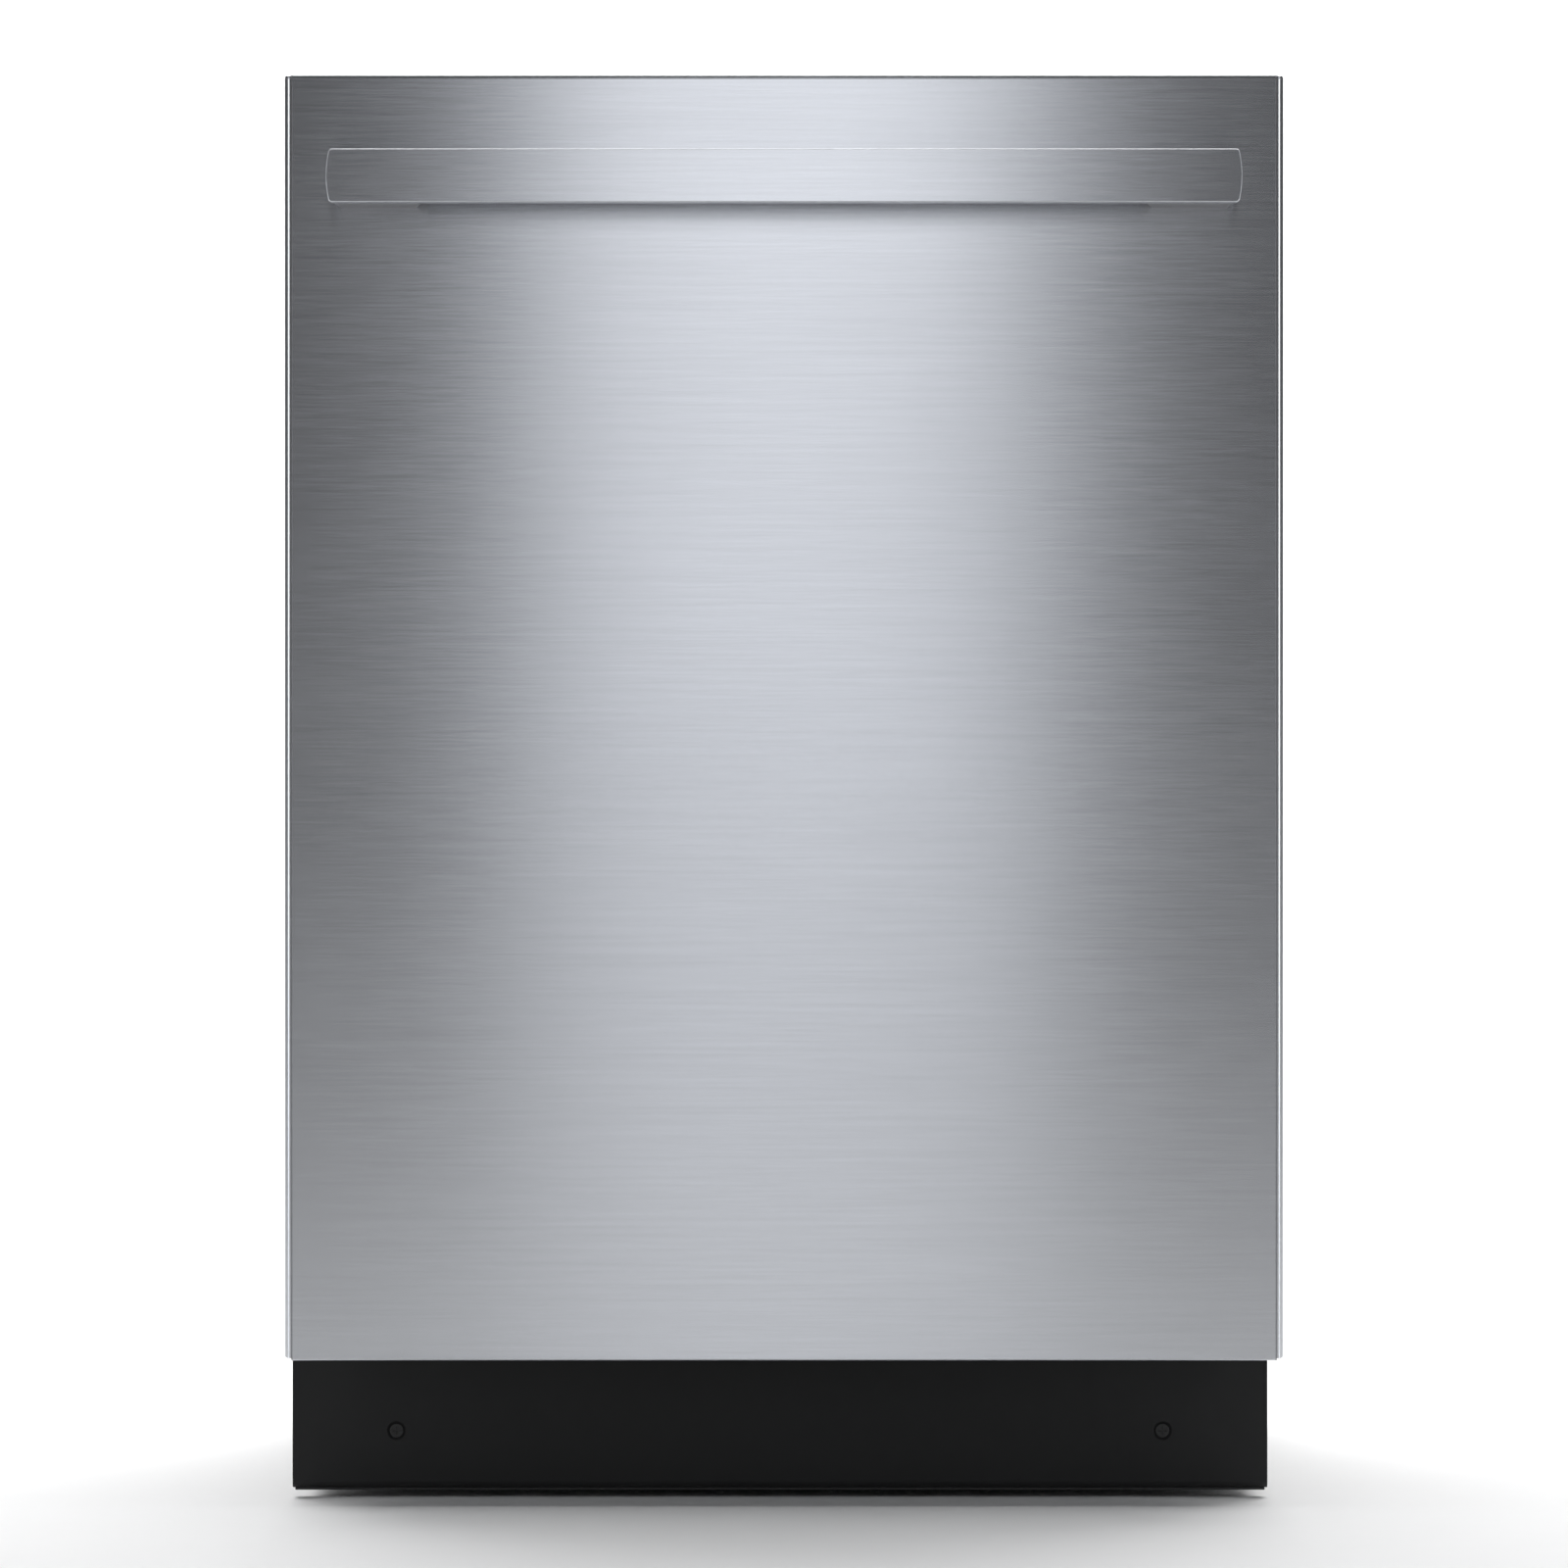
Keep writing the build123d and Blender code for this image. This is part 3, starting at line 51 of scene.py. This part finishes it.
class Wire:
    """A node socket that can be added, multiplied and compared like a number."""

    def __init__(self, tree, socket):
        self.tree = tree
        self.socket = socket

    def node(self, kind, inputs=(), out=0, **settings):
        made = self.tree.nodes.new(kind)
        for key, value in settings.items():
            setattr(made, key, value)
        for key, value in dict(inputs).items():
            if isinstance(value, Wire):
                self.tree.links.new(value.socket, made.inputs[key])
            else:
                made.inputs[key].default_value = value
        return Wire(self.tree, made.outputs[out])

    def maths(self, operation, *values, clamp=False):
        return self.node("ShaderNodeMath", dict(enumerate(values)), operation=operation, use_clamp=clamp)

    def __add__(self, other):
        return self.maths("ADD", self, other)

    __radd__ = __add__

    def __mul__(self, other):
        return self.maths("MULTIPLY", self, other)

    __rmul__ = __mul__

    def __sub__(self, other):
        return self.maths("SUBTRACT", self, other)

    def __rsub__(self, other):
        return self.maths("SUBTRACT", other, self)

    def band(self, centre, half):
        """1 on a stripe round centre, falling to 0 at half away from it."""
        away = self.maths("ABSOLUTE", self - centre) * (1.0 / half)
        return self.maths("SUBTRACT", 1.0, away, clamp=True)

    def scaled(self, x, y, z):
        return self.node("ShaderNodeVectorMath", {0: self, 1: (x, y, z)}, operation="MULTIPLY")

    def noise(self, scale, detail=2.0, roughness=0.5):
        inputs = {"Vector": self, "Scale": scale, "Detail": detail, "Roughness": roughness}
        return self.node("ShaderNodeTexNoise", inputs)

    def colour_mix(self, dark, light):
        made = self.tree.nodes.new("ShaderNodeMix")
        made.data_type = "RGBA"
        made.clamp_factor = True
        self.tree.links.new(self.socket, made.inputs[0])
        for place, colour in ((6, dark), (7, light)):
            if isinstance(colour, Wire):
                self.tree.links.new(colour.socket, made.inputs[place])
            else:
                made.inputs[place].default_value = (*colour, 1.0)
        return Wire(self.tree, made.outputs[2])


def begin(name):
    """A new material: its shader node, and the object coordinates as a wire."""
    made = bpy.data.materials.new(name)
    made.use_nodes = True
    tree = made.node_tree
    shader = next(n for n in tree.nodes if n.type == "BSDF_PRINCIPLED")
    place = tree.nodes.new("ShaderNodeTexCoord")
    return made, tree, shader, Wire(tree, place.outputs["Object"])


def finish_material(tree, shader, colour, rough, height, depth, **constants):
    """Joins colour, roughness and a bump of real depth in metres to the shader."""
    tree.links.new(colour.socket, shader.inputs["Base Color"])
    tree.links.new(rough.socket, shader.inputs["Roughness"])
    bump = height.node("ShaderNodeBump", {"Height": height, "Distance": depth, "Strength": 1.0})
    tree.links.new(bump.socket, shader.inputs["Normal"])
    for key, value in constants.items():
        shader.inputs[key.replace("_", " ")].default_value = value


def moulded(name, dark, light, rough, depth=0.00002, scale=2600.0, **constants):
    """Moulded plastic or rubber: a fine spark texture, with dull and polished patches."""
    made, tree, shader, place = begin(name)
    spark = place.noise(scale, 2.0, 0.6)
    patches = place.noise(9.0, 4.0, 0.6)
    colour = (patches * 0.7 + spark * 0.3).colour_mix(dark, light)
    roughness = rough - 0.06 + patches * 0.12 + spark * 0.05
    finish_material(tree, shader, colour, roughness, spark, depth, **constants)
    return made


def studio_floor():
    """A profile drawn out along X: a flat floor, then a quarter circle up to an upright backdrop."""
    radius, front, back, high, half = 3.0, -12.0, 12.0, 12.0, 16.0
    turn = np.linspace(0.0, math.pi / 2, 24)
    y = np.concatenate([[front], back - radius + radius * np.sin(turn), [back]])
    z = np.concatenate([[0.0], radius - radius * np.cos(turn), [high]])
    count = len(y)
    points = np.concatenate([np.stack([np.full(count, x), y, z], 1) for x in (-half, half)])
    faces = [(i, count + i, count + i + 1, i + 1) for i in range(count - 1)]
    mesh = bpy.data.meshes.new("studio_floor")
    mesh.from_pydata(points.tolist(), [], faces)
    mesh.polygons.foreach_set("use_smooth", [True] * len(faces))
    floor = bpy.data.objects.new("studio_floor", mesh)
    bpy.context.collection.objects.link(floor)
    mesh.materials.append(moulded("studio_paint", (0.80, 0.80, 0.80), (0.84, 0.84, 0.84), 0.85, 0.0001, 60.0))


studio_floor()

# ---------------------------------------------------------------- light
# Six soft boxes: a tall strip in front for the bright middle of the door, one at each side, and three over
# the floor. The world adds a faint even fill.

COOL = (0.93, 0.955, 1.0)
FAINTLY_COOL = (0.95, 0.98, 1.0)
WHITE = (1.0, 1.0, 1.0)


def soft_light(name, place, aim, wide, high, power, colour=WHITE):
    """A rectangular soft box at a place, facing a point."""
    data = bpy.data.lights.new(name, "AREA")
    data.shape = "RECTANGLE"
    data.size = wide
    data.size_y = high
    data.energy = power
    data.color = colour
    lamp = bpy.data.objects.new(name, data)
    lamp.location = place
    lamp.rotation_euler = (Vector(aim) - Vector(place)).to_track_quat("-Z", "Y").to_euler()
    bpy.context.collection.objects.link(lamp)


soft_light("front_strip", (0.0, -6.0, 1.3), (0.0, 0.0, 0.6), 0.72, 3.6, 8.8, COOL)
soft_light("left_box", (-2.6, -2.2, 1.0), (-0.3, -0.3, 0.5), 1.0, 2.8, 19.0, FAINTLY_COOL)
soft_light("right_box", (2.6, -2.2, 1.0), (0.3, -0.3, 0.5), 1.0, 2.8, 19.0, FAINTLY_COOL)
soft_light("top_box", (0.0, 0.5, 3.0), (0.0, 2.2, 0.0), 4.0, 2.4, 115.0)
soft_light("floor_strip", (0.0, -3.3, 1.3), (0.0, -3.3, 0.0), 0.4, 3.0, 2.5)
soft_light("back_box", (0.0, 6.0, 6.0), (0.0, 8.5, 0.0), 10.0, 6.0, 1700.0)

world = bpy.data.worlds.new("studio")
world.use_nodes = True
world.node_tree.nodes["Background"].inputs["Color"].default_value = (0.98, 0.98, 1.0, 1.0)
world.node_tree.nodes["Background"].inputs["Strength"].default_value = 0.07
bpy.context.scene.world = world
bpy.context.scene.view_settings.view_transform = "Standard"

# ---------------------------------------------------------------- door panel
# One folded stainless sheet, brushed from side to side. A fine dark line of painted shade lies beside each
# side fold and under the top fold, where the bend begins.

SCRATCH_DEPTH = 0.000004
DOOR_GRAIN = (30.0, 1700.0, 1700.0)
# Colour of the painted shade line at the folds. Its half widths and its insets from the sheet's edges follow
# below.
FOLD_SHADE_COLOUR = (0.12, 0.12, 0.13)
FOLD_SHADE_HALF = 0.0006
TOP_FOLD_SHADE_HALF = 0.0004
FOLD_SHADE_INSET = 0.0047
TOP_FOLD_SHADE_INSET = 0.0030

panel_low, panel_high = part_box("door_panel")


def brushed(name, dark, light, rough, grain, turn=0.25, anisotropic=0.8, painted_shade=None):
    """Brushed metal: scratches far longer than wide, along the axis with the small grain number."""
    made, tree, shader, place = begin(name)
    fine = place.scaled(*grain).noise(1.0, 3.0, 0.6)
    coarse = place.scaled(*(g * 0.22 for g in grain)).noise(1.0, 2.0, 0.5)
    handled = place.noise(5.0, 3.0, 0.55)
    tone = fine * 0.6 + coarse * 0.4
    colour = tone.colour_mix(dark, light)
    roughness = rough - 0.05 + fine * 0.08 + handled * 0.04
    # A painted_shade function, where given, paints shade into the colour and dulls the roughness.
    if painted_shade:
        colour, roughness = painted_shade(place, colour, roughness)
    finish_material(
        tree,
        shader,
        colour,
        roughness,
        fine,
        SCRATCH_DEPTH,
        Metallic=1.0,
        Anisotropic=anisotropic,
        Anisotropic_Rotation=turn,
    )
    return made


def wear(piece_names, material):
    """Gives CAD pieces their material."""
    for name in piece_names.split():
        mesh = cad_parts[name].data
        mesh.materials.clear()
        mesh.materials.append(material)


def paint_fold_shade(place, colour, roughness):
    """Painted shade: a dark, duller line beside each side fold and under the top fold, where the bend begins.
    """
    split = place.tree.nodes.new("ShaderNodeSeparateXYZ")
    place.tree.links.new(place.socket, split.inputs[0])
    x, z = Wire(place.tree, split.outputs[0]), Wire(place.tree, split.outputs[2])
    # Both stripes are painted shade, not a colour of the steel.
    side = x.maths("ABSOLUTE", x).band(float(panel_high[0]) - FOLD_SHADE_INSET, FOLD_SHADE_HALF)
    top = z.band(float(panel_high[2]) - TOP_FOLD_SHADE_INSET, TOP_FOLD_SHADE_HALF)
    fold_shade_mask = x.maths("MAXIMUM", side, top)
    return (fold_shade_mask * 0.75).colour_mix(colour, FOLD_SHADE_COLOUR), roughness + fold_shade_mask * 0.25


wear(
    "door_panel",
    brushed(
        "door_steel",
        (0.54, 0.55, 0.575),
        (0.76, 0.775, 0.81),
        0.19,
        DOOR_GRAIN,
        anisotropic=0.86,
        painted_shade=paint_fold_shade,
    ),
)

# ---------------------------------------------------------------- bar handle and arms
# Solid bar brushed along its length like the door, and cast arms in a duller, unbrushed steel. The arms' dark
# colour is painted shade for their shaded undersides.

BAR_GRAIN = (30.0, 1800.0, 1800.0)
CAST_GRAIN = (500.0, 500.0, 500.0)

wear(
    "handle_bar",
    brushed("handle_steel", (0.54, 0.55, 0.575), (0.77, 0.785, 0.82), 0.19, BAR_GRAIN, anisotropic=0.86),
)
# The arms' colour, far darker than the bar's, is painted shade.
wear(
    "handle_arms",
    brushed("arm_steel_painted_shade", (0.20, 0.20, 0.21), (0.30, 0.30, 0.31), 0.42, CAST_GRAIN, 0.0, 0.0),
)

# ---------------------------------------------------------------- toe kick
# Folded sheet in satin black powder coat, screwed on at both ends, with a rubber strip under it.

wear(
    "toe_kick",
    moulded(
        "black_coat",
        (0.012, 0.012, 0.012),
        (0.018, 0.018, 0.019),
        0.5,
        0.00001,
        1800.0,
        Specular_IOR_Level=0.25,
    ),
)
wear(
    "body_screws",
    moulded("black_oxide", (0.006, 0.006, 0.006), (0.014, 0.014, 0.014), 0.42, 0.00001, 2200.0),
)
wear(
    "toe_kick_strip tub_gasket door_lip_seal",
    moulded("black_rubber", (0.010, 0.010, 0.010), (0.022, 0.022, 0.022), 0.62, 0.00003),
)

# ---------------------------------------------------------------- tub, inner door, filter plate
# Bright cold rolled stainless sheet, with a short grain.

wear(
    "tub door_liner filter_plate",
    brushed("inner_steel", (0.58, 0.59, 0.61), (0.70, 0.71, 0.73), 0.26, (14.0, 14.0, 1400.0), 0.0, 0.4),
)

# ---------------------------------------------------------------- plated steel fittings
# Channels, hinge parts, rails, posts, springs and screws: zinc plated, with a faint crystal pattern.


CRYSTAL_DEPTH = 0.000006


def zinc_plate():
    """Zinc: cells of slightly different grey, dulled in patches."""
    made, tree, shader, place = begin("zinc_plate")
    cells = place.node("ShaderNodeTexVoronoi", {"Vector": place, "Scale": 180.0}, out=1)
    grey = cells.node("ShaderNodeSeparateColor", {0: cells})
    dull = place.noise(30.0, 4.0, 0.6)
    colour = (grey * 0.5 + dull * 0.5).colour_mix((0.42, 0.43, 0.45), (0.62, 0.63, 0.65))
    finish_material(tree, shader, colour, 0.3 + dull * 0.2, grey, CRYSTAL_DEPTH, Metallic=1.0)
    return made


wear(
    "door_screws door_channels door_latch hinge_arms hinge_brackets flange_fittings side_posts "
    "balance_springs spring_hooks rails_outer rails_middle rails_inner flow_heater",
    zinc_plate(),
)

# ---------------------------------------------------------------- dark plastics
# Base tray, housings, legs, pulleys, pumps: glass-filled polypropylene with a spark-eroded surface.

wear(
    "base_tray control_housing front_left_leg front_right_leg rear_leg cable_pulleys sump pumps "
    "junction_box inlet_valve",
    moulded("dark_plastic", (0.018, 0.018, 0.020), (0.036, 0.036, 0.039), 0.48, 0.00003, 1500.0),
)
wear(
    "key_power key_program key_start",
    moulded("key_plastic", (0.05, 0.05, 0.055), (0.075, 0.075, 0.08), 0.36, 0.00001, 3000.0),
)
wear(
    "display_window",
    moulded(
        "smoked_window",
        (0.006, 0.006, 0.008),
        (0.010, 0.010, 0.012),
        0.12,
        0.000002,
        500.0,
        Coat_Weight=0.6,
    ),
)

# ---------------------------------------------------------------- light plastics
# Spray arms, pipes, wheels, clips, dispenser and cutlery basket: grey polypropylene, faintly chalky.

wear(
    "dispenser dispenser_lid rinse_aid_cap filter_cup lower_spray_arm upper_spray_arm top_spray_arm "
    "wheel_carriers lower_wheels_front lower_wheels_rear cutlery_basket rack_brackets upper_feed feed_pipe",
    moulded("grey_plastic", (0.33, 0.34, 0.36), (0.44, 0.45, 0.47), 0.42, 0.00002, 1700.0),
)

# ---------------------------------------------------------------- racks
# Steel wire dipped in nylon, slightly uneven and thicker where it pooled.

wear(
    "lower_rack fold_row_front fold_row_rear upper_rack third_rack",
    moulded("nylon_coat", (0.36, 0.37, 0.39), (0.46, 0.47, 0.49), 0.34, 0.00006, 420.0),
)

# ---------------------------------------------------------------- control board
# Green solder mask with fine copper tracks under it.


COPPER_DEPTH = 0.00003


def board():
    """Solder mask over a grid of fine tracks."""
    made, tree, shader, place = begin("control_board")
    tracks = place.node("ShaderNodeTexBrick", {"Vector": place, "Scale": 160.0}, out=1)
    stain = place.noise(60.0, 3.0, 0.5)
    colour = (tracks * 0.6 + stain * 0.4).colour_mix((0.012, 0.08, 0.03), (0.03, 0.16, 0.06))
    finish_material(tree, shader, colour, 0.3 + stain * 0.15, tracks, COPPER_DEPTH)
    return made


wear("control_board", board())

# ---------------------------------------------------------------- sound damping
# Pressed fibre pad in the door, and bitumen sheets stuck to the tub.


FELT_DEPTH = 0.0006


def fibres():
    """Matted fibres: long stretched noise in two directions over soft lumps."""
    made, tree, shader, place = begin("door_felt")
    one = place.scaled(2200.0, 2200.0, 220.0).noise(1.0, 3.0, 0.6)
    two = place.scaled(220.0, 2200.0, 2200.0).noise(1.0, 3.0, 0.6)
    lumps = place.noise(35.0, 3.0, 0.6)
    mat = one.maths("MAXIMUM", one, two)
    colour = (mat * 0.6 + lumps * 0.4).colour_mix((0.30, 0.30, 0.29), (0.56, 0.56, 0.54))
    finish_material(tree, shader, colour, 0.85 + lumps * 0.1, mat + lumps, FELT_DEPTH)
    return made


wear("door_insulation", fibres())
wear("damping_mats", moulded("bitumen", (0.012, 0.012, 0.012), (0.035, 0.034, 0.033), 0.7, 0.0003, 260.0))
